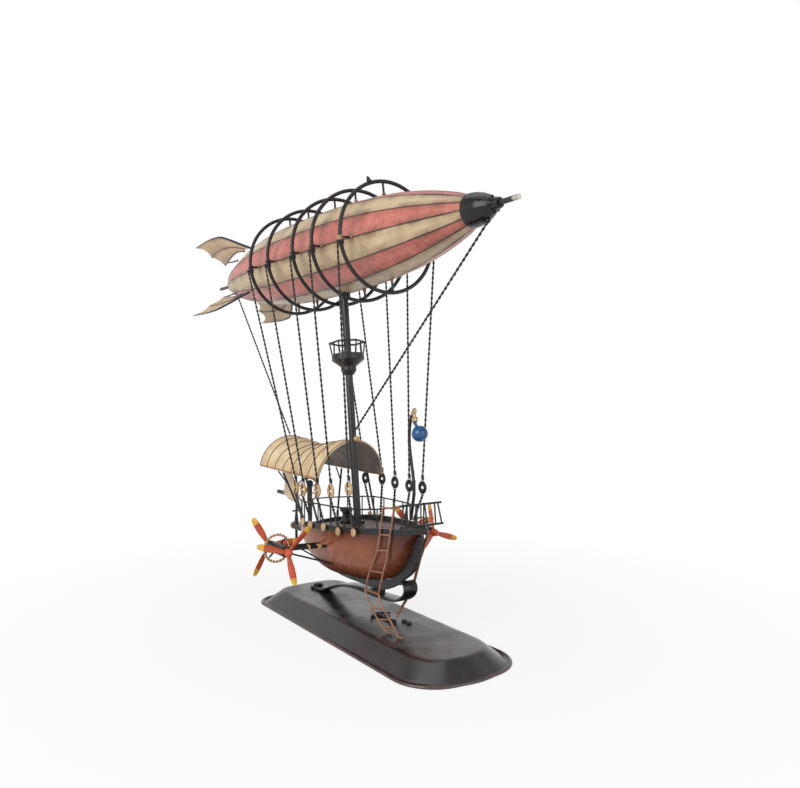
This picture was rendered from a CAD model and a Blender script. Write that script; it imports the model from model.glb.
import math

import bmesh
import bpy
import numpy as np
from mathutils import Matrix


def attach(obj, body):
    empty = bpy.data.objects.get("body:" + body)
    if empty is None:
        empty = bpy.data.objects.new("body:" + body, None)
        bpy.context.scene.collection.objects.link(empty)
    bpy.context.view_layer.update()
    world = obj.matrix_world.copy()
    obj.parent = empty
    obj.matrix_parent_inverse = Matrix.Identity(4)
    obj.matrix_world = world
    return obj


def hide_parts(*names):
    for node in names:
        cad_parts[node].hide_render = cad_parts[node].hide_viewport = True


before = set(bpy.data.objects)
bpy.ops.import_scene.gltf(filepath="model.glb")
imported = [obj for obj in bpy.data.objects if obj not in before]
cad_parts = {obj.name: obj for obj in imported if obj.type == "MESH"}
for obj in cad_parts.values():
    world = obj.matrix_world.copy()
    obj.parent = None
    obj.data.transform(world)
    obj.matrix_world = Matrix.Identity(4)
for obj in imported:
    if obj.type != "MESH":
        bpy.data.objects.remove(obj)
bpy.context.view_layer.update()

# Studio. A seamless pale sweep under the model, one large soft box to the left of the lens, a weaker one to the
# right, a broad one overhead, and a camera off the starboard bow, a little above the deck.
camera_place = (0.494223, -0.313985, 0.190423)
camera_turn = math.radians(55.4439)
camera_dip = math.radians(-0.2587)
focal_in_pixels = 731.2825
picture_width = 800

right = np.array([math.cos(camera_turn), math.sin(camera_turn), 0])
ahead = np.array([-math.sin(camera_turn) * math.cos(camera_dip),
                  math.cos(camera_turn) * math.cos(camera_dip), math.sin(camera_dip)])
upward = np.cross(right, ahead)
lens = bpy.data.cameras.new("camera")
lens.sensor_width = 36
lens.lens = focal_in_pixels / picture_width * lens.sensor_width
lens.clip_start = 0.01


def set_up(name, data, axes, place):
    """Puts a camera or lamp at a place, its own x, y and z turned along the three axes."""
    holder = bpy.data.objects.new(name, data)
    holder.matrix_world = Matrix(np.transpose(axes).tolist()).to_4x4()
    holder.location = place
    bpy.context.scene.collection.objects.link(holder)
    return holder


bpy.context.scene.camera = set_up("camera", lens, (right, upward, -ahead), camera_place)
bpy.context.scene.view_settings.view_transform = "Standard"
model_middle = (-0.05, 0, 0.2)


def soft_box(name, place, size, watts):
    """An area lamp at a place, its face turned to the middle of the model."""
    lamp = bpy.data.lights.new(name, "AREA")
    lamp.shape = "RECTANGLE"
    lamp.size, lamp.size_y = size
    lamp.energy = watts
    back = np.subtract(place, model_middle)
    back /= np.linalg.norm(back)
    across = np.cross((0, 0, 1), back)
    across /= np.linalg.norm(across)
    set_up(name, lamp, (across, np.cross(back, across), back), place)


soft_box("key_box", (0.35, -1.35, 0.75), (1.1, 1.1), 16.5)
soft_box("fill_box", (1.5, 0.35, 0.45), (0.9, 1.2), 6)
soft_box("top_box", (-0.1, -0.1, 1.6), (1.6, 1.1), 6.5)


def feed(node, socket, value):
    """Gives a node's socket a number, or links another node's output to it."""
    if isinstance(value, bpy.types.NodeSocket):
        node.id_data.links.new(value, node.inputs[socket])
    else:
        node.inputs[socket].default_value = value


def wire(owner, kind, feeds, **settings):
    """Adds a shader node to a material or world, sets its options and feeds its sockets."""
    made = owner.node_tree.nodes.new("ShaderNode" + kind)
    for option, value in settings.items():
        setattr(made, option, value)
    for socket, value in feeds.items():
        feed(made, socket, value)
    return made


def calc(owner, operation, *numbers):
    """One step of arithmetic on numbers or sockets."""
    return wire(owner, "Math", dict(enumerate(numbers)), operation=operation).outputs[0]


def times(owner, first, second):
    """The product of two numbers or sockets."""
    return calc(owner, "MULTIPLY", first, second)


def span(owner, value, low, high, start=0.0, end=1.0):
    """Start where the value is low, end where it is high, and a straight slope between."""
    ends = {"From Min": low, "From Max": high, "To Min": start, "To Max": end}
    return wire(owner, "MapRange", {"Value": value, **ends}).outputs[0]


def axis_of(owner, place, number):
    """The x, y or z (0, 1 or 2) of a place."""
    return wire(owner, "SeparateXYZ", {0: place}).outputs[number]


def vector_calc(owner, operation, *vectors):
    """One step of arithmetic on places, or the length of one."""
    made = wire(owner, "VectorMath", dict(enumerate(vectors)), operation=operation)
    return made.outputs["Value" if operation == "LENGTH" else "Vector"]


horizon_at, ceiling_at = 0.3, 0.75
horizon_level, ceiling_level, room_level = 1.0, 0.4, 0.55
world = bpy.data.worlds.new("studio")
bpy.context.scene.world = world
world.use_nodes = True
ray = wire(world, "LightPath", {}).outputs
seen = calc(world, "MAXIMUM", ray["Is Camera Ray"], ray["Is Transmission Ray"])
upwards = axis_of(world, wire(world, "TexCoord", {}).outputs["Generated"], 2)
overhead = span(world, upwards, horizon_at, ceiling_at, horizon_level, ceiling_level)
level = times(world, span(world, ray["Is Glossy Ray"], 0, 1, room_level, 1.0), overhead)
backdrop = world.node_tree.nodes["Background"]
feed(backdrop, "Color", (1, 1, 1, 1))
feed(backdrop, "Strength", calc(world, "MAXIMUM", level, seen))

reach, floor_drop = 6.0, 0.0002
floor_mesh = bpy.data.meshes.new("floor")
floor_mesh.from_pydata([(-reach, -reach, 0), (reach, -reach, 0), (reach, reach, 0), (-reach, reach, 0)], [],
                       [(0, 1, 2, 3)])
floor = bpy.data.objects.new("floor", floor_mesh)
bpy.context.scene.collection.objects.link(floor)
floor.location.z = -floor_drop
paper = bpy.data.materials.new("backdrop_paper")
paper.use_nodes = True
nodes = paper.node_tree.nodes
nodes.remove(nodes["Principled BSDF"])
ray = wire(paper, "LightPath", {}).outputs
seen = calc(paper, "MAXIMUM", ray["Is Camera Ray"], ray["Is Glossy Ray"])
from_tray = vector_calc(paper, "LENGTH", wire(paper, "TexCoord", {}).outputs["Object"])
shadow_reach, clear_reach, shadow_level = 0.15, 0.42, 0.82
share = times(paper, seen, span(paper, from_tray, shadow_reach, clear_reach, shadow_level, 1.0))
matt = wire(paper, "BsdfDiffuse", {"Color": (0.86, 0.86, 0.86, 1)}).outputs[0]
glow = wire(paper, "Emission", {"Color": (1, 1, 1, 1)}).outputs[0]
blend = wire(paper, "MixShader", {0: share, 1: matt, 2: glow}).outputs[0]
feed(nodes["Material Output"], "Surface", blend)
floor.data.materials.append(paper)

# Tray base. One sheet of steel pressed into a shallow dish turned over, its edge rolled round a wire. It is
# sprayed satin black and the shoulders and the rolled edge are rubbed back to red-brown primer.


def outline(half_width, ends, count):
    """Points round a tray seen from above: straight sides, quarter-round corners, and two ends, bow then stern, each
    given as (half length, corner radius, bulge). The middle of an end stands out by its bulge times one minus the
    square of the share of the half width. Points are evenly spaced by arc length."""
    quarters = []
    for half_length, corner, bulge in ends:
        end_y = np.linspace((half_width - corner) * 0.8, 0, 24)
        turn = np.radians(np.linspace(90, 10, 24))
        centre = half_length - bulge * (1 - corner / half_width) ** 2 - corner
        end_x = half_length - bulge * (end_y / half_width) ** 2
        quarters.append((np.concatenate([[0], centre + corner * np.cos(turn), end_x]),
                         np.concatenate([[half_width], half_width - corner + corner * np.sin(turn), end_y])))
    (bow_x, bow_y), (stern_x, stern_y) = quarters
    x = np.concatenate([bow_x, bow_x[-2::-1], -stern_x[1:], -stern_x[-2:0:-1]])
    y = np.concatenate([bow_y, -bow_y[-2::-1], -stern_y[1:], stern_y[-2:0:-1]])
    loop = np.stack([np.append(x, x[0]), np.append(y, y[0])], 1)
    walked = np.concatenate([[0], np.cumsum(np.linalg.norm(np.diff(loop, axis=0), axis=1))])
    at = np.linspace(0, walked[-1], count, endpoint=False)
    return np.stack([np.interp(at, walked, loop[:, 0]), np.interp(at, walked, loop[:, 1])], 1)


def eased(points, rounds=3):
    """Corner cutting: every stretch keeps its points at one quarter and three quarters, and the ends stay."""
    points = np.asarray(points, float)
    for _ in range(rounds):
        cut = np.stack([points[:-1] * 0.75 + points[1:] * 0.25, points[:-1] * 0.25 + points[1:] * 0.75], 1)
        points = np.concatenate([points[:1], cut.reshape(-1, points.shape[1]), points[-1:]])
    return points


def make_piece(name, sheets, material, node=None, bend=40, body="airship"):
    """One mesh from grids of points in millimetres. Each sheet is (points as rows by columns by 3, rows closed,
    columns closed). Doubles are merged so that seams and poles close, faces are turned outwards, and a UV map
    keeps the share of the way along the columns (u) and along the rows (v)."""
    corners, quads, shares, first = [], [], [], 0
    for points, rows_closed, columns_closed in sheets:
        rows, columns = points.shape[:2]
        along, across = rows - (not rows_closed), columns - (not columns_closed)
        i, j = np.meshgrid(np.arange(along), np.arange(across), indexing="ij")
        step_i = np.stack([i, i, i + 1, i + 1], -1).reshape(-1, 4)
        step_j = np.stack([j, j + 1, j + 1, j], -1).reshape(-1, 4)
        corners.append(points.reshape(-1, 3) * 0.001)
        quads.append(first + (step_i % rows) * columns + step_j % columns)
        shares.append(np.stack([step_j / across, step_i / along], -1))
        first += rows * columns
    mesh = bpy.data.meshes.new(name)
    mesh.from_pydata(np.concatenate(corners).tolist(), [], np.concatenate(quads).tolist())
    mesh.uv_layers.new(name="surface").data.foreach_set("uv", np.concatenate(shares).astype(np.float32).ravel())
    cleaner = bmesh.new()
    cleaner.from_mesh(mesh)
    bmesh.ops.remove_doubles(cleaner, verts=cleaner.verts, dist=2e-6)
    bmesh.ops.recalc_face_normals(cleaner, faces=cleaner.faces)
    cleaner.to_mesh(mesh)
    cleaner.free()
    mesh.polygons.foreach_set("use_smooth", np.ones(len(mesh.polygons), bool))
    mesh.set_sharp_from_angle(angle=math.radians(bend))
    mesh.materials.append(material)
    piece = bpy.data.objects.new(name, mesh)
    bpy.context.scene.collection.objects.link(piece)
    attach(piece, body)
    if node:
        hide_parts(node)
    return piece


def colour(shown):
    """Display values 0 to 255 turned into the linear ones that the shader takes, by the 2.4 power curve."""
    shown = np.array(shown) / 255
    return (*np.where(shown < 0.04045, shown / 12.92, ((shown + 0.055) / 1.055) ** 2.4), 1)


def clouds(material, place, size_mm, detail=6.0, low=0.35, high=0.65):
    """A noise with features of the given size, stretched so that low becomes 0 and high becomes 1."""
    noise = wire(material, "TexNoise", {"Vector": place, "Scale": 1000 / size_mm, "Detail": detail})
    return span(material, noise.outputs["Fac"], low, high)


def mixed(material, share, *shades):
    """The first shade at share 0 and the second at share 1, each a socket or display values."""
    first, second = (shade if isinstance(shade, bpy.types.NodeSocket) else colour(shade) for shade in shades)
    return wire(material, "Mix", {0: share, 6: first, 7: second}, data_type="RGBA").outputs[2]


def finish_of(name, tone, dark, light, rough=0.4, relief_mm=0.02, cloud_mm=14, fleck=None, metal=0.0,
              stretch=(1, 1, 1), shine=0.5):
    """A hand-sprayed or cast finish. The tone drifts to the dark and the light colour on two sizes of cloud, small
    flecks of a second colour show where a fine noise peaks, roughness follows the clouds, and a fine noise gives
    the surface its relief. Returns the material, its shader, its colour socket and its place vector."""
    material = bpy.data.materials.new(name)
    material.use_nodes = True
    shader = material.node_tree.nodes["Principled BSDF"]
    spot = wire(material, "TexCoord", {}).outputs["Object"]
    place = wire(material, "Mapping", {"Vector": spot, "Scale": stretch}).outputs[0]
    fine = clouds(material, place, cloud_mm / 7, 8.0)
    shade = mixed(material, clouds(material, place, cloud_mm), dark, tone)
    shade = mixed(material, times(material, fine, 0.45), shade, light)
    if fleck:
        spots = clouds(material, place, cloud_mm / 5, 4.0, 0.66, 0.7)
        shade = mixed(material, times(material, spots, 0.7), shade, fleck)
    grain = wire(material, "TexNoise", {"Vector": place, "Scale": 900.0, "Detail": 4.0}).outputs["Fac"]
    bump = wire(material, "Bump", {"Height": grain, "Distance": relief_mm / 1000, "Strength": 0.6}).outputs[0]
    for socket, value in {"Base Color": shade, "Roughness": span(material, fine, 0, 1, rough - 0.09, rough + 0.12),
                          "Normal": bump, "Metallic": metal, "Specular IOR Level": shine}.items():
        feed(shader, socket, value)
    return material, shader, shade, place


def mapped(material, number):
    """A share of the piece's own map: 0 along the columns, 1 along the rows."""
    return axis_of(material, wire(material, "UVMap", {}, uv_map="surface").outputs[0], number)


def steps(material, value, stops, smooth=True):
    """A brightness that passes through the given (place, level) stops."""
    ramp = wire(material, "ValToRGB", {"Fac": value})
    ramp.color_ramp.interpolation = "LINEAR" if smooth else "CONSTANT"
    while len(ramp.color_ramp.elements) < len(stops):
        ramp.color_ramp.elements.new(0.5)
    for element, (position, level) in zip(ramp.color_ramp.elements, stops):
        element.position = position
        element.color = (level, level, level, 1)
    return ramp.outputs[0]


tray_inset = eased([(19, 11.2), (16, 11.2), (14.2, 10.9), (5.2, 1.0), (3.2, 0.1), (1.4, 0.0)], 2)
bead_turn = np.radians(np.arange(-90, 181, 22.5))
bead_radius = 1.2
tray_bead = np.stack([1.25 - bead_radius * np.cos(bead_turn), bead_radius + bead_radius * np.sin(bead_turn)], 1)
tray_over = eased([(2.5, 1.45), (3.4, 1.45), (4.6, 2.0), (8.5, 5.6), (13.5, 9.9), (15.6, 11.7), (18.6, 12.4),
                   (22, 12.4)], 3)
half_length, half_width, around_tray = 129, 47.3, 280
inset_of_ends = 0.91
inset, level = np.concatenate([tray_inset, tray_bead, tray_over]).T
tray_edge = outline(half_width, ((132.5, 32, 20), (half_length, 20, 6)), around_tray)
shrink = np.stack([1 - inset * inset_of_ends / half_length, 1 - inset / half_width], 1)
tray_level = np.broadcast_to(level[:, None, None], (len(level), around_tray, 1))
tray_rows = np.concatenate([tray_edge[None] * shrink[:, None], tray_level], 2)
middle, midway = (0, 0, 1), (0.5, 0.5, 1)
tray_rows = np.concatenate([[tray_rows[0] * middle, tray_rows[0] * midway], tray_rows,
                            [tray_rows[-1] * midway, tray_rows[-1] * middle]])
tray_paint, shader, shade, place = finish_of("tray_enamel", (38, 36, 37), (34, 32, 33), (45, 42, 42), 0.25, 0.003,
                                             160, shine=0.72)
up_profile = mapped(tray_paint, 1)
bead_row = 2 + len(tray_inset)
over_row = bead_row + len(tray_bead)
bead_share, lip_share, shoulder_share = (
    row / (len(tray_rows) - 1) for row in (bead_row + 6, over_row + 4, over_row + len(tray_over) * 0.8))
rubbed = steps(tray_paint, up_profile, [
    (bead_share - 0.04, 0), (bead_share, 0.6), (lip_share, 0.03), (shoulder_share - 0.05, 0.03),
    (shoulder_share, 0.65), (shoulder_share + 0.05, 0)])
rubbed = times(tray_paint, rubbed, clouds(tray_paint, place, 9, 8.0, 0.38, 0.6))
shade = mixed(tray_paint, rubbed, shade, (104, 70, 60))
groove = steps(tray_paint, up_profile, [(lip_share - 0.045, 0), (lip_share - 0.02, 1), (lip_share + 0.02, 0)])
feed(shader, "Base Color", mixed(tray_paint, groove, shade, (8, 8, 9)))
make_piece("tray_pressing", [(tray_rows, False, True)], tray_paint, "base_tray", 30)

# Cradle. A steel strap bolted to the tray under a domed bolt, rising in a long bow to the keel and rolled over at
# the front into a scroll, with two more screw heads in the tray. All of it is glossy black, chipped on the edges.
iron = finish_of("black_iron_paint", (27, 27, 29), (18, 18, 20), (45, 44, 46), 0.34, 0.02, 9, (78, 71, 66),
                 shine=0.36)[0]
gloss_black = finish_of("strap_enamel", (22, 21, 21), (15, 14, 15), (34, 33, 33), 0.2, 0.008, 24, shine=0.36)[0]


def dress(material, *nodes):
    """Gives solids that stay as they are the material of their own finish."""
    for node in nodes:
        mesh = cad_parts[node].data
        mesh.materials.clear()
        mesh.materials.append(material)


def flowing(at, x, y):
    """Smooth curve through the points (x, y): cubic pieces whose slope at a point is that between its neighbours."""
    x, y, at = np.asarray(x, float), np.asarray(y, float), np.asarray(at, float)
    slope = np.gradient(y, x, axis=0)
    i = np.clip(np.searchsorted(x, at) - 1, 0, len(x) - 2)
    gap = x[i + 1] - x[i]
    t, gap = (v.reshape(v.shape + (1,) * (y.ndim - 1)) for v in ((at - x[i]) / gap, gap))
    return ((2 * t ** 3 - 3 * t ** 2 + 1) * y[i] + (t ** 3 - 2 * t ** 2 + t) * gap * slope[i]
            + (3 * t ** 2 - 2 * t ** 3) * y[i + 1] + (t ** 3 - t ** 2) * gap * slope[i + 1])


def capped(rows):
    """A sheet of closed loops. The loop at each end is folded flat onto its own middle line, point k with the last
    point less k."""
    first, last = ((loop + loop[::-1])[None] / 2 for loop in (rows[0], rows[-1]))
    return np.concatenate([first, rows, last]), False, True


def carried(path, section, above=(0, 0, 1), ring=False):
    """Carries a flat section along a path: point = path + a * side + b * top, where side is square to the path and
    to the direction above, and top is square to both. Sections may be one for all rows, or one for each."""
    path = np.asarray(path, float)
    if ring:
        heading = np.roll(path, -1, axis=0) - np.roll(path, 1, axis=0)
    else:
        heading = np.gradient(path, axis=0)
    heading /= np.linalg.norm(heading, axis=1, keepdims=True)
    side = np.cross(heading, np.broadcast_to(above, heading.shape))
    side /= np.linalg.norm(side, axis=1, keepdims=True)
    top = np.cross(side, heading)
    section = np.broadcast_to(section, (len(path),) + np.shape(section)[-2:])
    return path[:, None] + section[..., :1] * side[:, None] + section[..., 1:] * top[:, None]


def circle(radius, sides):
    """Even points round a circle; a list of radii gives one circle for each."""
    turn = np.linspace(0, 2 * np.pi, sides, endpoint=False)
    return np.asarray(radius)[..., None, None] * np.stack([np.cos(turn), np.sin(turn)], 1)


def even(points, count):
    """The smooth curve through the points at evenly spaced places, count of them."""
    points = np.asarray(points, float)
    walked = np.concatenate([[0], np.cumsum(np.linalg.norm(np.diff(points, axis=0), axis=1))])
    return flowing(np.linspace(0, walked[-1], count), walked, points)


def lathe(profile, origin, axis="z", count=40, flip=1):
    """Turns a profile of (radius, height) pairs round an axis through the origin. One that starts off the axis is a
    ring, and closes on itself."""
    turn = np.linspace(0, 2 * np.pi, count, endpoint=False)
    r, h = np.array(profile, float).T[..., None]
    a, b, c = r * np.cos(turn), r * np.sin(turn), h * flip + 0 * turn
    order = {"x": (c, a, b), "y": (a, c, b), "z": (a, b, c)}[axis]
    return np.asarray(origin, float) + np.stack(order, 2), bool(profile[0][0] > 0), True


def straight(start, end, step=0.5):
    """Points at an even step on the straight line between two places."""
    count = max(3, int(np.linalg.norm(np.subtract(end, start)) / step) + 1)
    return np.linspace(start, end, count)


def flat_bar(thick, wide, bend):
    """Section of a flat bar whose four edges are rounded off by the radius bend."""
    turn = np.radians(np.arange(7.5, 360, 15))
    return np.stack([np.sign(np.cos(turn)) * (thick / 2 - bend) + bend * np.cos(turn),
                     np.sign(np.sin(turn)) * (wide / 2 - bend) + bend * np.sin(turn)], 1)


def upright(points, count):
    """A smooth line in the middle plane, from (x, z) pairs."""
    line = even(points, count)
    return np.stack([line[:, 0], 0 * line[:, 0], line[:, 1]], 1)


strap_line = [(-92, 13.55), (-84, 13.55), (-77, 14.35), (-70.3, 16.8), (-59.8, 20.6), (-48, 24.6), (-38.4, 26.9),
              (-28, 28.5), (-18, 29.2), (-6, 29.5), (7.6, 29.6), (18, 30.1), (26, 30.7), (33, 31.3), (40.5, 32.6),
              (46, 35.2), (50.6, 39), (52.2, 43), (50.8, 46.4), (47.6, 47.6), (45.2, 46.2)]
strap = carried(upright(strap_line, 220), flat_bar(2, 12, 0.45), (0, 1, 0))
strap_eye = lathe([(0, -1), (6.6, -1), (7, -0.6), (7, 0.6), (6.6, 1), (0, 1)], (-92, 0, 13.55))
make_piece("bent_strap", [capped(strap), strap_eye], gloss_black, "strap_cradle")
dress(gloss_black, "base_bolts")

# Hull. Beaten from sheet to the round shape of a small ship and sprayed brown, lighter along the middle and nearly
# black-red towards the stem, the keel and the band. The shell is open above and closed at both ends. A black keel
# plate is soldered along its bottom and stem, and stands on the strap on a small block.
station = [-117, -111.2, -104.6, -97.2, -89.7, -81.5, -71.6, -60, -45, -30, -15, 0, 12, 24, 35, 43, 50, 56, 61,
           65, 69]
beam_share = [0.15, 0.24, 0.35, 0.465, 0.585, 0.71, 0.85, 0.95, 0.997, 0.994, 0.961, 0.907, 0.828, 0.707, 0.573,
              0.48, 0.395, 0.31, 0.218, 0.138, 0.04]
sheer_height = [66, 67.7, 69.8, 72.1, 73.9, 75.4, 77, 79, 80.4, 81.7, 82.8, 83.6, 84.5, 85.3, 86.4, 86.9, 87.4,
                88, 88.6, 89.1, 89.8]
keel_height = [60.3, 59.8, 59, 57.3, 54.8, 50.8, 45.2, 39.7, 37.1, 36.9, 38, 39.8, 42, 45, 49.8, 56, 63.6, 74, 81.5,
               86, 88.8]
half_beam = 32.1
hull_wall = 1.4
fullness = 2.3


def beam(x):
    """Half breadth of the hull at the sheer."""
    return half_beam * flowing(np.atleast_1d(x), station, beam_share)


def sheer(x):
    """Height of the hull's upper edge."""
    return flowing(np.atleast_1d(x), station, sheer_height)


def bottom(x):
    """Height of the underside of the hull on its middle line."""
    return flowing(np.atleast_1d(x), station, keel_height)


hull_x = np.linspace(-117, 69, 150)
turn = np.linspace(np.pi, 0, 49)
round_y = np.sign(np.cos(turn)) * np.abs(np.cos(turn)) ** (2 / fullness)
round_z = np.abs(np.sin(turn)) ** (2 / fullness)
outer_b, top_z, low_z = beam(hull_x)[:, None], sheer(hull_x)[:, None], bottom(hull_x)[:, None]
inner_b = np.maximum(0.2, outer_b - hull_wall)
inner_low = np.minimum(top_z - 0.5, low_z + hull_wall)
inner_low[[0, -1]] = top_z[[0, -1]] - 0.4
across = hull_x[:, None] + 0 * turn
outside = np.stack([across, outer_b * round_y, top_z - (top_z - low_z) * round_z], 2)
inside = np.stack([across, inner_b * round_y, top_z - (top_z - inner_low) * round_z], 2)[:, ::-1]
hull_paint, shader, shade, place = finish_of("hull_brown_spray", (139, 77, 47), (108, 56, 34), (156, 94, 62),
                                             0.26, 0.012, 34, shine=0.4)
height = axis_of(hull_paint, place, 2)
off_keel, off_band = span(hull_paint, height, 0.036, 0.055), span(hull_paint, height, 0.084, 0.070)
off_bow = span(hull_paint, axis_of(hull_paint, place, 0), 0.066, 0.024)
open_share = times(hull_paint, times(hull_paint, off_keel, off_band), off_bow)
shade = mixed(hull_paint, open_share, (64, 29, 19), shade)
inboard = steps(hull_paint, mapped(hull_paint, 0), [(0, 0), (0.497, 1)], False)
feed(shader, "Base Color", mixed(hull_paint, inboard, shade, (34, 31, 31)))
hull_rows = np.concatenate([outside, inside], 1)
make_piece("hull_plating", [capped(hull_rows)], hull_paint, "hull_shell", 35)
keel_line = [(67.6, 84.6), (66.8, 79.6), (65.4, 74.4), (61.8, 65), (56.2, 56.6), (46.4, 49.4), (41, 45.6),
             (30.6, 39.9), (22, 36.3), (10.9, 33.4), (-5, 33.1), (-20.8, 32.9), (-40, 32.7), (-55.8, 33.8),
             (-66, 37), (-74, 41), (-82, 45.6), (-90, 50), (-97, 52.8), (-105, 55), (-111, 56), (-117, 56.6)]
seat_x = np.linspace(63.2, -116.5, 40)
keel_seat = upright(np.stack([seat_x, bottom(seat_x) - 0.2], 1), 160)
keel_edge = upright(keel_line, 160)
drop = keel_edge - keel_seat
bevel = 0.35 / np.linalg.norm(drop, axis=1)[:, None]
plate_half, edge_half = 1.5, 1.15
keel_loop = np.stack([keel_seat + drop * down + (0, wide, 0) for down, wide in (
    (0, plate_half), (0.5, plate_half), (1 - bevel, plate_half), (1, edge_half),
    (1, -edge_half), (1 - bevel, -plate_half), (0.5, -plate_half), (0, -plate_half))], 1)
block = carried(straight((3.1, 0, 32.1), (12.1, 0, 32.1), 1), flat_bar(8, 2.5, 0.3))
boss = lathe([(0, 0), (2.4, 0), (2.6, 0.2), (2.6, 4), (0, 4)], (7.6, 0, 31))
make_piece("keel_plate", [capped(keel_loop), capped(block), boss], iron, "keel_bar")
dress(iron, "gunwale_band")

# Deck. A flat sheet let in below the band, with planks scored along it and brushed in two greys, and each plank
# stained a little differently.
plank_width = 4.2
deck_x = np.linspace(-110.8, 55, 90)
deck_top_drop, deck_drop = 3.0, 4.4
depth = sheer(deck_x) - bottom(deck_x) - hull_wall
deck_b = (beam(deck_x) - hull_wall) * np.maximum(0, 1 - (deck_drop / depth) ** fullness) ** (1 / fullness) - 0.35
planks = np.linspace(-1, 1, 161)
deck_y = deck_b[:, None] * planks
seam = np.exp(-((deck_y / plank_width - np.round(deck_y / plank_width)) * plank_width / 0.3) ** 2)
along, sheer_z = deck_x[:, None] + 0 * deck_y, sheer(deck_x)[:, None]
deck_top = np.stack([along, deck_y, sheer_z - deck_top_drop - 0.25 * seam], 2)
deck_under = np.stack([along, deck_y, sheer_z - deck_drop + 0 * deck_y], 2)[:, ::-1]
deck_paint, shader, shade, place = finish_of("deck_plank_paint", (136, 117, 110), (94, 79, 74), (172, 154, 144),
                                             0.5, 0.03, 6, (150, 140, 70), stretch=(0.16, 1, 1))
board = calc(deck_paint, "DIVIDE", axis_of(deck_paint, place, 1), plank_width / 1000)
whole = calc(deck_paint, "ROUND", board)
stain = wire(deck_paint, "TexWhiteNoise", {"W": whole}, noise_dimensions="1D").outputs[0]
shade = mixed(deck_paint, times(deck_paint, stain, 0.5), shade, (84, 74, 66))
from_joint = calc(deck_paint, "ABSOLUTE", calc(deck_paint, "SUBTRACT", board, whole))
shade = mixed(deck_paint, span(deck_paint, from_joint, 0.12, 0.03), shade, (48, 42, 38))
feed(shader, "Base Color", shade)
deck_rows = np.concatenate([deck_top, deck_under], 1)
make_piece("deck_planks", [capped(deck_rows)], deck_paint, "deck", 30)

# Rails and mast. Rails of black wire stand on the band. The raked mast is a rod with streaks drawn down its paint,
# let into a collar in the deck. It carries a beaten bowl as crow's nest, a gilded ball, and at its head a bracket
# that saddles the envelope.
dress(iron, "rail_starboard", "rail_port", "bow_rail", "mast_collar", "crows_nest", "nest_rail", "mast_bracket")
mast_paint = finish_of("mast_streaks", (28, 27, 30), (12, 12, 14), (66, 64, 68), 0.3, 0.03, 4, stretch=(1, 1, 0.06),
                       shine=0.34)[0]
dress(mast_paint, "mast")
gold = finish_of("old_gold", (198, 160, 114), (148, 110, 70), (224, 192, 148), 0.36, 0.02, 5, (92, 68, 46), 0.15)[0]
dress(gold, "mast_ball")

# Gas envelope. Twelve gores of sheet metal soldered along raised seams and painted red and cream in turn, with
# brown stain settled along the seams and dark smudges where the rings stand. The tail end closes on the long rod.
axis_z = 309.25
env_radius = 36.5
tail_x, shell_end_x = -299.4, 125.4
gores, seam_lean = 12, 6.5
gore_turn = 2 * math.pi / gores
sheet_wall, rod_hole = 0.9, 1.95
ring_x = np.array([-139.6, -101.7, -53.2, -19.2, 21.8])


def env_r(x):
    """Radius of the envelope: a blunt tail that grows as (1 - (1 - s)^2)^0.68, then a nose that falls as s^2.9."""
    x = np.asarray(x, float)
    tail = np.clip(1 - (1 - (x + 301) / 202) ** 2, 0, 1) ** 0.68
    nose = 1 - 0.618 * (np.maximum(x + 99, 0) / 212) ** 2.9
    return env_radius * np.where(x < -99, tail, nose)


walk = np.linspace(0, 1, 150)
shell_x = tail_x + (shell_end_x - tail_x) * (walk * 0.6 + 0.4 * walk ** 2 * (3 - 2 * walk))
spin = np.linspace(0, 2 * np.pi, gores * 16, endpoint=False)
from_middle = (spin / gore_turn) % 1 - 0.5
flat_gore = 0.5 + 0.5 * np.cos(gore_turn / 2) / np.cos(from_middle * gore_turn)
fade = np.clip((119 - shell_x) / 8, 0, 1) * np.clip((shell_x + 300) / 12, 0, 1)
seam_ridge = 0.32 * np.exp(-((0.5 - np.abs(from_middle)) * 19 / 0.55) ** 2)
shell_r = env_r(shell_x)[:, None]
outer_r = shell_r * (1 + (flat_gore - 1) * fade[:, None]) + seam_ridge * fade[:, None]
inner_r = np.maximum(shell_r[::-1] - sheet_wall, rod_hole)
both_x = np.concatenate([shell_x, shell_x[::-1]])
both_r = np.concatenate([outer_r, inner_r + 0 * spin])
seam_turn = spin - math.radians(seam_lean)
shell_rows = np.stack([both_x[:, None] + 0 * spin, -both_r * np.cos(seam_turn),
                       axis_z + both_r * np.sin(seam_turn)], 2)
paint, shader, red_shade, place = finish_of("envelope_paint", (190, 108, 96), (166, 84, 73), (208, 137, 124), 0.36,
                                            0.02, 26, (112, 60, 50))
cloud = clouds(paint, place, 20)
cream_shade = mixed(paint, cloud, (180, 157, 123), (198, 177, 143))
gore = times(paint, mapped(paint, 0), gores)
odd = calc(paint, "MODULO", calc(paint, "FLOOR", gore), 2.0)
shade = mixed(paint, odd, red_shade, cream_shade)
from_middle = calc(paint, "ABSOLUTE", calc(paint, "SUBTRACT", calc(paint, "FRACT", gore), 0.5))
to_axis = vector_calc(paint, "SUBTRACT", place, (0, 0, axis_z / 1000))
radius_here = vector_calc(paint, "LENGTH", vector_calc(paint, "MULTIPLY", to_axis, (0, 1, 1)))
from_seam = times(paint, calc(paint, "SUBTRACT", 0.5, from_middle), gore_turn)
from_seam = times(paint, from_seam, radius_here)
stain = times(paint, span(paint, from_seam, 0.006, 0.0), 0.9)
stain = times(paint, stain, clouds(paint, place, 16, 7.0, 0.34, 0.6))
shade = mixed(paint, stain, shade, (112, 70, 46))
line = times(paint, span(paint, from_seam, 0.0008, 0.0004), span(paint, cloud, 0, 1, 0.75, 1.0))
shade = mixed(paint, line, shade, (40, 28, 24))
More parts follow.
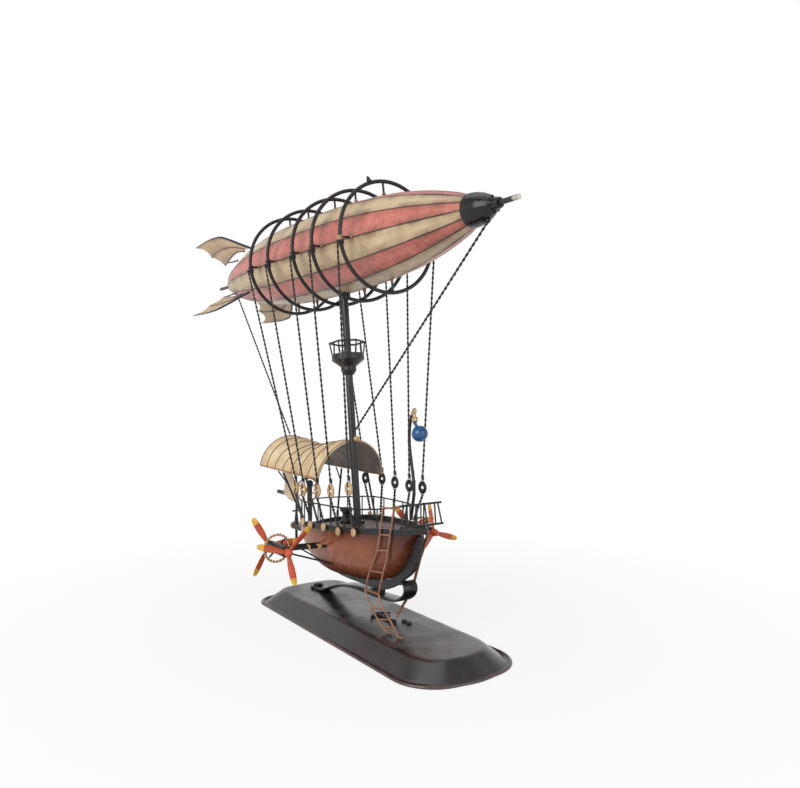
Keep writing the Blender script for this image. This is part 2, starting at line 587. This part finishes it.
along = axis_of(paint, place, 0)
for smudge_x in (*(ring_x + 3), 31.5):
    away = calc(paint, "ABSOLUTE", calc(paint, "SUBTRACT", along, smudge_x / 1000))
    near = times(paint, span(paint, away, 0.006, 0.001), 0.35)
    near = times(paint, near, clouds(paint, place, 12, 3.0, 0.42, 0.62))
    shade = mixed(paint, near, shade, (84, 66, 52))
feed(shader, "Base Color", shade)
make_piece("gore_shell", [(shell_rows, True, True)], paint, "envelope", 60)

# Nose cap, long rod and rings. The cap is spun steel with lumps of solder round its tip, the rod runs right through
# and is bright where the paint has worn off its front end, and each ring is 3 mm wire on four soldered spokes.
rod_paint, shader, shade, place = finish_of("rod_steel", (30, 30, 33), (20, 20, 22), (52, 51, 54), 0.34, 0.02, 10)
bright = span(rod_paint, axis_of(rod_paint, place, 0), 0.1615, 0.163)
feed(shader, "Base Color", mixed(rod_paint, bright, shade, (196, 190, 182)))
feed(shader, "Metallic", times(rod_paint, bright, 0.9))
dress(rod_paint, "axis_rod")
dress(gloss_black, "nose_cap")
dress(iron, "ring_1", "ring_2", "ring_3", "ring_4", "ring_5")
copper = finish_of("dull_copper", (150, 104, 80), (104, 68, 50), (190, 142, 110), 0.42, 0.03, 4, (70, 50, 40), 0.3)[0]


def lump(centre, radius, stretch=(1, 1, 1)):
    """A drop of solder: a sphere whose radius swells and shrinks a little with sin(2u) and sin(3v)."""
    u = np.linspace(0, 2 * np.pi, 14, endpoint=False)
    v = np.linspace(0, np.pi, 9)[:, None]
    r = radius * (1 + 0.06 * np.sin(2 * u + centre[0]) * np.sin(v) + 0.05 * np.sin(3 * v + centre[2]))
    ball = np.stack([r * np.sin(v) * np.cos(u), r * np.sin(v) * np.sin(u), r * np.cos(v)], 2)
    return ball * stretch + np.asarray(centre, float), False, True


spoke_turn = np.radians(seam_lean + np.arange(0, 360, 90))
drops = [lump((x, -out * math.sin(a), axis_z + out * math.cos(a)), 1.5)
         for x, out in zip(ring_x, env_r(ring_x) + 1.2) for a in spoke_turn]
make_piece("spoke_solder", drops, copper)
cap_turn = np.radians(np.arange(0, 360, 45) + 12)
drops = [lump((143.2, 4.9 * math.cos(a), axis_z + 4.9 * math.sin(a)), 1.4) for a in cap_turn]
drops += [lump((138.2, 0, 300.0), 1.8), lump((135.6, 1.9, 299.6), 1.2), lump((136.2, -1.9, 299.4), 1.1)]
make_piece("cap_solder", drops, gloss_black)

# Fins. Four bat wings of thin sheet, hollowed between a heavy top spar and two lighter ribs, and cut in scallops
# along the after edge. The sheet is tan cream, stained brown beside the ribs.
fin_angle = {"upper_starboard": 135, "upper_port": 45, "lower_starboard": 220, "lower_port": 315}
half_sheet = 0.4
top_spar = [(-190, 32.6), (-202, 39.5), (-214, 47), (-229.4, 54.6), (-247, 56.9), (-265.8, 57.3),
            (-284, 56.8), (-303.5, 55.8)]
mid_rib = [(-203, 34.2), (-212, 37.8), (-225, 41), (-246, 42.8), (-268, 42.2), (-286.5, 39.2)]
low_rib = [(-207, 31.9), (-216, 33.6), (-228, 33.6), (-239, 32), (-256, 28.4), (-272, 25)]
foot_rib = [(-262, 27.0), (-249, 25.9), (-236, 25.6)]
fin_paint, shader, shade, place = finish_of("fin_cream", (200, 175, 143), (170, 140, 108), (217, 197, 167), 0.5,
                                            0.02, 12, (120, 90, 60))
beside = steps(fin_paint, mapped(fin_paint, 0), [
    (0, 1), (0.07, 0), (0.19, 0), (0.25, 1), (0.31, 0), (0.43, 0), (0.5, 1), (0.57, 0), (0.69, 0), (0.75, 1),
    (0.81, 0), (0.93, 0), (1, 1)])
shade = mixed(fin_paint, times(fin_paint, beside, 0.6), shade, (116, 84, 54))
veins = wire(fin_paint, "TexWave", {"Vector": place, "Scale": 40.0, "Distortion": 3.0}, bands_direction="X")
shade = mixed(fin_paint, times(fin_paint, veins.outputs["Fac"], 0.12), shade, (120, 92, 62))
feed(shader, "Base Color", shade)


def turned_about_axis(points, degrees):
    """Points given as (x, out, side) stand on the envelope's axis, with out turned up from the port side."""
    a = math.radians(degrees)
    x, out, side = np.moveaxis(np.asarray(points, float), -1, 0)
    return np.stack([x, out * math.cos(a) - side * math.sin(a),
                     axis_z + out * math.sin(a) + side * math.cos(a)], -1)


def membrane(first, second, hollow, sag):
    """Sheet between two ribs, s across and t along. Its after edge is drawn in by hollow times 4s(1-s), and it sags
    by 4s(1-s) times the square root of sin(pi t)."""
    s = np.linspace(0, 1, 15)
    t = np.linspace(0, 1, 60)[:, None] * (1 - hollow * 4 * s * (1 - s))
    place = np.linspace(0, 1, 200)
    line_a, line_b = even(first, 200), even(second, 200)
    x, out = (np.interp(t, place, line_a[:, k]) * (1 - s) + np.interp(t, place, line_b[:, k]) * s for k in (0, 1))
    out = np.maximum(out, env_r(x) + 0.25)
    return x, out, sag * 4 * s * (1 - s) * np.sin(np.pi * np.clip(t, 0, 1)) ** 0.5


for name, degrees in fin_angle.items():
    parts = [membrane(top_spar, mid_rib, 0.1, 1.1), membrane(mid_rib, low_rib, 0.07, 0.9)]
    x, out, side = (np.concatenate([parts[0][k], parts[1][k][:, 1:]], 1) for k in range(3))
    faces = [turned_about_axis(np.stack([x, out, side + h], -1), degrees) for h in (half_sheet, -half_sheet)]
    sheet = capped(np.concatenate([faces[0], faces[1][:, ::-1]], 1))
    make_piece("fin_sheet_" + name, [sheet], fin_paint, "fin_" + name, 50)
    across_fin = (0, -math.sin(math.radians(degrees)), math.cos(math.radians(degrees)))
    bars = []
    for line, thick, thin, count in ((top_spar, 1.25, 0.4, 60), (mid_rib, 0.85, 0.5, 60), (low_rib, 0.85, 0.5, 60),
                                     (foot_rib, 0.6, 0.9, 20)):
        path = turned_about_axis(np.pad(even(line, count), ((0, 0), (0, 1))), degrees)
        bars.append(capped(carried(path, circle(np.linspace(thick, thin, count), 10), across_fin)))
    make_piece("fin_spars_" + name, bars, iron)

# Ropes and stays. Every rope is two strands of black wire twisted together, wrapped where it meets its washer and
# lashed to the ring wire above. They are held at both ends and stand straight.
rope_black = finish_of("rope_black", (36, 34, 34), (23, 22, 23), (62, 58, 55), 0.42, 0.02, 4)[0]


def twisted(path, radius, pitch, above=(0, 1, 0), ring=False):
    """Two strands laid round the path: each centre stands half the radius off it, turned once a pitch."""
    path = np.asarray(path, float)
    stretch = np.linalg.norm(np.diff(path, axis=0, append=path[:1] if ring else path[-1:]), axis=1)
    walked = np.concatenate([[0], np.cumsum(stretch)[:-1]])
    whole = stretch.sum()
    turns = max(1, round(whole / pitch)) if ring else whole / pitch
    made = []
    for start in (0, 0.5):
        angle = 2 * np.pi * (walked / whole * turns + start)
        centre = (radius / 2) * np.stack([np.cos(angle), np.sin(angle)], -1)[:, None]
        tube = carried(path, circle(radius * 0.53, 8) + centre, above, ring)
        made.append((tube, True, True) if ring else capped(tube))
    return made


ring_wire_r = np.array([45, 45, 45, 45, 42.8])
eyes = {"starboard": [(-71.4, -32.7, 108), (-51.4, -35.9, 108.4), (-28.5, -34.9, 110), (-6, -35.2, 112),
                      (18.5, -33.4, 116.5)],
        "port": [(-67, 34.5, 111.7), (-41.7, 36, 113.5), (-20.5, 35.2, 112.4), (0.5, 35.3, 111.8),
                 (21, 33.8, 112.7)]}
lash_turn, spoke_slope = math.radians(11), math.radians(seam_lean)
rope_radius, rope_pitch, stay_pitch = 0.92, 8.2, 8.7
above_eye, below_eye = (0, 0, 6.3), (0, 0, -6.5)


def eye_loop(place, up):
    """A ring of thin wire round the rim of a washer, above its middle or below it."""
    turn = np.linspace(0, 2 * np.pi, 24, endpoint=False)
    path = np.stack([0 * turn, 1.4 * np.cos(turn), up * 3.9 + 2.5 * np.sin(turn)], 1) + place
    return carried(path, circle(0.42, 6), (1, 0, 0), True), True, True


def lashing(i, flip, slope, turns=4):
    """A coil of wire round the wire of ring i, at the given slope below the horizontal: a circle of radius 2.05 that
    moves 0.17 along the ring for each radian."""
    outwards = np.array([0, flip * math.cos(slope), -math.sin(slope)])
    along_ring = np.array([0, flip * math.sin(slope), math.cos(slope)])
    wraps = np.linspace(0, 2 * np.pi * turns, 24 * turns)[:, None]
    coil = ((ring_x[i], 0, axis_z) + ring_wire_r[i] * outwards + 2.05 * np.cos(wraps) * (1, 0, 0)
            + 2.05 * np.sin(wraps) * outwards + (wraps - np.pi * turns) * 0.17 * along_ring)
    return capped(carried(coil, circle(0.45, 6), outwards))


for side, flip in (("starboard", -1), ("port", 1)):
    outwards = np.array([0, flip * math.cos(lash_turn), -math.sin(lash_turn)])
    lines = [lashing(i, flip, -flip * spoke_slope, 2) for i in range(4)]
    for i in range(5):
        top = (ring_x[i], 0, axis_z) + (ring_wire_r[i] + 2.85) * outwards
        low = np.add(eyes[side][i], above_eye)
        lines += twisted(straight(low, top), rope_radius, rope_pitch)
        wraps = np.linspace(0, 2 * np.pi * 3, 60)
        coil = low + np.stack([1.2 * np.cos(wraps), 1.2 * np.sin(wraps), 0.2 + wraps * 0.17], 1)
        lines.append(capped(carried(coil, circle(0.34, 6))))
        lines += [lashing(i, flip, lash_turn), lump(top, 1.5), eye_loop(eyes[side][i], 1)]
    make_piece("twisted_ropes_" + side, lines, rope_black, "shrouds_" + side)
make_piece("gold_lashing", [lashing(4, -1, spoke_slope, 3)], gold)
stay_tail = -281.5
for node, start, end, thick in (
        ("bow_stay", (-27.35, 0, 157.3), (138.5, 0, 299.6), 0.96),
        ("tail_stay", (-150.6, 0.6, 147.9), (stay_tail, 0, axis_z - float(env_r(stay_tail)) - 1.5), 0.86)):
    make_piece("twisted_" + node, twisted(straight(start, end), thick, stay_pitch), rope_black, node)

# Washers, links and deadeyes. Turned washers hang in the eyes of the ropes, brass to starboard and blackened to
# port. Short twisted wires tie them to brass buttons, the deadeyes, along the band.
edge = np.radians(np.linspace(0, 360, 16, endpoint=False))
washer_profile = np.stack([3.6 + 1.5 * np.sign(np.cos(edge)) * np.abs(np.cos(edge)) ** 0.5,
                           0.8 * np.sign(np.sin(edge)) * np.abs(np.sin(edge)) ** 0.5], 1)
link_radius, link_pitch = 1.1, 5.4
dead_x = np.array([-57, -41.4, -20.4, -0.4, 16.9])
dead_z = np.interp(dead_x, station, sheer_height) - (-0.9, 0.2, 0.8, 2.5, 2.1)
dead_y = half_beam * np.interp(dead_x[:, None] + (-3.25, 0, 3.25), station, beam_share).max(1) + 2.35
for side, flip, metal, slot in (("starboard", -1, gold, "gold"), ("port", 1, iron, "black_iron")):
    rounds = [lathe(washer_profile, place, "y") for place in eyes[side]]
    make_piece("turned_washers_" + side, rounds, metal, "washers_" + side)
    links = []
    for i in range(5):
        low = np.array([dead_x[i], flip * dead_y[i], dead_z[i] + 4.4])
        high = np.add(eyes[side][i], below_eye)
        links += twisted(straight(low, high), link_radius, link_pitch)
        links += [lump(low, 1.05), lump(high, 1.05), eye_loop(eyes[side][i], -1)]
    make_piece("links_" + side, links, rope_black, "chains_" + side)
button = [(0, -0.75), (2.9, -0.75), (3.2, -0.4), (3.2, 0.3), (2.9, 0.62), (2.2, 0.75), (1.7, 0.55), (0.7, 0.5),
          (0, 0.35)]
rounds = [lathe(button, (dead_x[i], flip * dead_y[i], dead_z[i]), "y", 32, flip) for i in range(5)
          for flip in (-1, 1)]
make_piece("deadeye_buttons", rounds, gold, "deadeyes")

# Canopy. One sheet bent over ribs like the cover of a cart, high behind and in front and dipping between, cream
# outside with brown ribs and edges, and smoked dark grey inside.
can_x = [-152, -140, -128, -116, -104, -92, -80, -68, -56, -45, -34.87]
can_top = [146.6, 145.8, 144.6, 142.8, 141.2, 141.4, 143.4, 145.4, 147.2, 148.1, 148.4]
can_lean = [1, 1.3, 1.6, 1.9, 2.2, 2.5, 2.8, 3.1, 3.4, 3.7, 4]
can_foot_y = [30, 30.2, 30.4, 30.6, 30.8, 31, 31.2, 31.3, 31.4, 31.5, 31.5]
can_foot_z = [119.5, 119.4, 119.2, 119, 118.8, 118.6, 118.4, 118.2, 118, 118, 118]


def hoop_line(x, proud, sweep):
    """Section of the canopy at x, standing proud of the outer face: y = lean sin(a) - foot cos(a), and
    z = foot + rise sin(a)^1.12."""
    tables = (can_foot_y, can_foot_z, can_top, can_lean)
    foot_y, foot_z, top, lean = (flowing(np.atleast_1d(x), can_x, v)[:, None] for v in tables)
    arch_z = foot_z + (top + proud - foot_z) * np.abs(np.sin(sweep)) ** 1.12
    arch_y = lean * np.sin(sweep) - (foot_y + proud) * np.cos(sweep)
    return np.stack([np.atleast_1d(x)[:, None] + 0 * sweep, arch_y, arch_z], 2)


sweep = np.linspace(0, np.pi, 61)
cloth_x = np.linspace(can_x[0], can_x[-1], 100)
wall = 1.3
rib_x = np.array([-150.8, -135.5, -118, -101, -84, -68, -51.5, -36.1])
between = np.abs(cloth_x[:, None] - rib_x).min(1) / 8
slack = -0.55 * np.clip(between, 0, 1)[:, None, None] ** 2 * np.sin(sweep)[:, None] * (0, 0, 1)
outer, inner = (hoop_line(cloth_x, proud, sweep) + slack for proud in (0, -wall))
canopy_paint, shader, shade, place = finish_of("canopy_cream", (226, 204, 164), (200, 172, 128), (242, 226, 192),
                                               0.5, 0.02, 14, (170, 132, 90))
canopy_share = mapped(canopy_paint, 0)
under = steps(canopy_paint, canopy_share, [(0, 0), (0.5, 1)], False)
foot_stain = steps(canopy_paint, canopy_share, [
    (0, 0.8), (0.03, 0.5), (0.09, 0), (0.41, 0), (0.47, 0.5), (0.5, 0.8), (1, 0.8)])
shade = mixed(canopy_paint, times(canopy_paint, foot_stain, 0.7), shade, (168, 126, 78))
smoke = mixed(canopy_paint, clouds(canopy_paint, place, 12), (84, 73, 65), (114, 101, 90))
feed(shader, "Base Color", mixed(canopy_paint, under, shade, smoke))
cover = capped(np.concatenate([outer, inner[:, ::-1]], 1))
make_piece("canopy_cover", [cover], canopy_paint, "canopy", 60)
rib_brown = finish_of("rib_brown", (142, 98, 56), (96, 64, 38), (182, 138, 88), 0.45, 0.03, 6)[0]
band = circle(1.0, 10) * (0.6, 0.42)
ribs = []
for x in rib_x:
    path = hoop_line(x, 0.12, np.linspace(0.02, np.pi - 0.02, 70))[0]
    ribs.append(capped(carried(path, band, (1, 0, 0))))
for flip in (-1, 1):
    foot_y, foot_z = flowing(cloth_x, can_x, can_foot_y) - 0.6, flowing(cloth_x, can_x, can_foot_z) + 0.3
    foot = np.stack([cloth_x, flip * foot_y, foot_z], 1)
    ribs.append(capped(carried(foot, circle(0.8, 10))))
make_piece("canopy_ribs", ribs, rib_brown)
make_piece("canopy_clip", [lump((-35.6, -31.4, 116.9), 1.0, (0.9, 0.7, 1.9))], iron)
dress(iron, "canopy_posts")

# Stern. A block on the transom holds a gold disc and a tapered stock, on which a curved cream vane with a black
# tube turns. The ship's wheel of gold wire spins on a pin of its post, and the capstan on its own stand.
dress(gold, "stern_disc", "ship_wheel")
dress(iron, "stern_block", "wheel_post", "capstan_base", "capstan_head")
vane_paint, shader, shade, place = finish_of("vane_cream", (200, 176, 144), (170, 142, 110), (217, 198, 168), 0.48,
                                             0.02, 9, (120, 90, 60))
on_tube = times(vane_paint, calc(vane_paint, "LESS_THAN", axis_of(vane_paint, place, 0), -0.1612),
                calc(vane_paint, "LESS_THAN", axis_of(vane_paint, place, 2), 0.0935))
feed(shader, "Base Color", mixed(vane_paint, on_tube, shade, (30, 29, 31)))
dress(vane_paint, "stern_vane")

# Davit and signal ball. The ball is glazed in blue and swings from the gold hook of a bent black rod that stands on
# the band.
glaze = finish_of("blue_glaze", (28, 80, 132), (20, 60, 106), (46, 102, 156), 0.12, 0.003, 9)[0]
dress(glaze, "signal_ball")
dress(gold, "davit_hook")
dress(iron, "davit")

# Ladder, anchor line and anchor. Ladder and line are soft copper wire: the ladder's rungs are soldered across, and
# it is tied to the rail and rests on the tray. The small anchor on the line is black iron.
dress(copper, "ladder", "anchor_line")
dress(iron, "anchor")

# Engines. On each side two struts carry a round nacelle inside a ring of twisted gold wire, and a propeller turns on
# a pin at either end. The blades are cut from sheet, twisted, and painted orange with yellow tips.
dress(iron, "outrigger_starboard", "outrigger_port")
engine_y, engine_z = 69.6, 67.5
front_hub_x, rear_hub_x = -13.2, -42.3
guard_x, guard_radius = -30, 10.5
disc = [(1.45, -0.75), (2.1, -0.75), (2.4, -0.45), (2.4, 0.45), (2.1, 0.75), (1.45, 0.75)]
cone = [(1.45, 0), (1.9, 0), (2.5, 2.6), (2.45, 3.2), (2.1, 3.4), (1.45, 3.4)]
for side, flip in (("starboard", -1), ("port", 1)):
    turn = np.linspace(0, 2 * np.pi, 260, endpoint=False)
    ring_path = np.stack([guard_x + 0 * turn, flip * engine_y + guard_radius * np.cos(turn),
                          engine_z + guard_radius * np.sin(turn)], 1)
    trim = [lathe(disc, (-22, flip * 46.2, 66.57), "y", 28, flip),
            lathe(cone, (-22, flip * 35.1, 66.1), "y", 28, flip)]
    make_piece("guard_twist_" + side, twisted(ring_path, 1.12, 5.6, (1, 0, 0), True) + trim, gold,
               "guard_ring_" + side)
blade_out = np.array([1.2, 3, 5, 8, 12, 16, 20, 22.6, 24.4, 25.6, 26.3, 26.5])
blade_half = np.array([1.5, 1.6, 1.75, 2.15, 2.6, 2.72, 2.6, 2.4, 2.05, 1.5, 0.8, 0.15])
blade_thick = np.array([0.9, 0.85, 0.75, 0.62, 0.52, 0.47, 0.43, 0.4, 0.36, 0.3, 0.25, 0.15])
prop_paint, shader, shade, place = finish_of("prop_orange", (198, 78, 44), (170, 56, 32), (214, 110, 74), 0.36,
                                             0.02, 6)
from_middle = calc(prop_paint, "ABSOLUTE", axis_of(prop_paint, place, 1))
beside_hub = wire(prop_paint, "CombineXYZ", {1: from_middle, 2: axis_of(prop_paint, place, 2)}).outputs[0]
from_hub = vector_calc(prop_paint, "SUBTRACT", beside_hub, (0, engine_y / 1000, engine_z / 1000))
yellow = span(prop_paint, vector_calc(prop_paint, "LENGTH", from_hub), 0.0204, 0.0208)
tip_shade = mixed(prop_paint, clouds(prop_paint, place, 5), (214, 152, 36), (236, 190, 66))
feed(shader, "Base Color", mixed(prop_paint, yellow, shade, tip_shade))
hub_profile = [(0, 5.1), (1.3, 5.1), (1.3, 0.05), (2.7, 0.05), (3.05, 0.4), (3.05, 4.6), (2.9, 5.3), (2.5, 6.3),
               (1.9, 7.1), (1.0, 7.7), (0, 7.9)]
root, tip = 1.6, 26.5
root_pitch, washout, blade_plane = 26, 14, 2.6
r = np.linspace(root, tip, 60)[:, None]
half, thick = flowing(r, blade_out, blade_half), flowing(r, blade_out, blade_thick)
lead = np.linspace(0, 2 * np.pi, 17)[:-1] + np.pi / 16
pitch = np.radians(root_pitch - washout * (r / tip))
wide = half * np.cos(lead)
hollow = 0.054 * wide ** 2 / np.maximum(half, 0.5)
deep = thick * np.sin(lead) - hollow
axial = blade_plane + wide * np.sin(pitch) + deep * np.cos(pitch)
sideways = wide * np.cos(pitch) - deep * np.sin(pitch)
props = {"starboard_front": (-1, 1, 43), "starboard_rear": (-1, -1, 1.3), "port_front": (1, 1, 102),
         "port_rear": (1, -1, 12)}
for name, (flip, ahead_or_aft, start) in props.items():
    hub = (front_hub_x if ahead_or_aft > 0 else rear_hub_x, flip * engine_y, engine_z)
    parts = []
    for a in np.radians([start, start + 120, start + 240]):
        blade = np.stack([ahead_or_aft * axial, r * math.cos(a) - sideways * math.sin(a),
                          r * math.sin(a) + sideways * math.cos(a)], 2)
        parts.append(capped(hub + blade))
    parts.append(lathe(hub_profile, hub, "x", 32, ahead_or_aft))
    make_piece("airscrew_" + name, parts, prop_paint, "prop_" + name, 50, "prop_" + name)
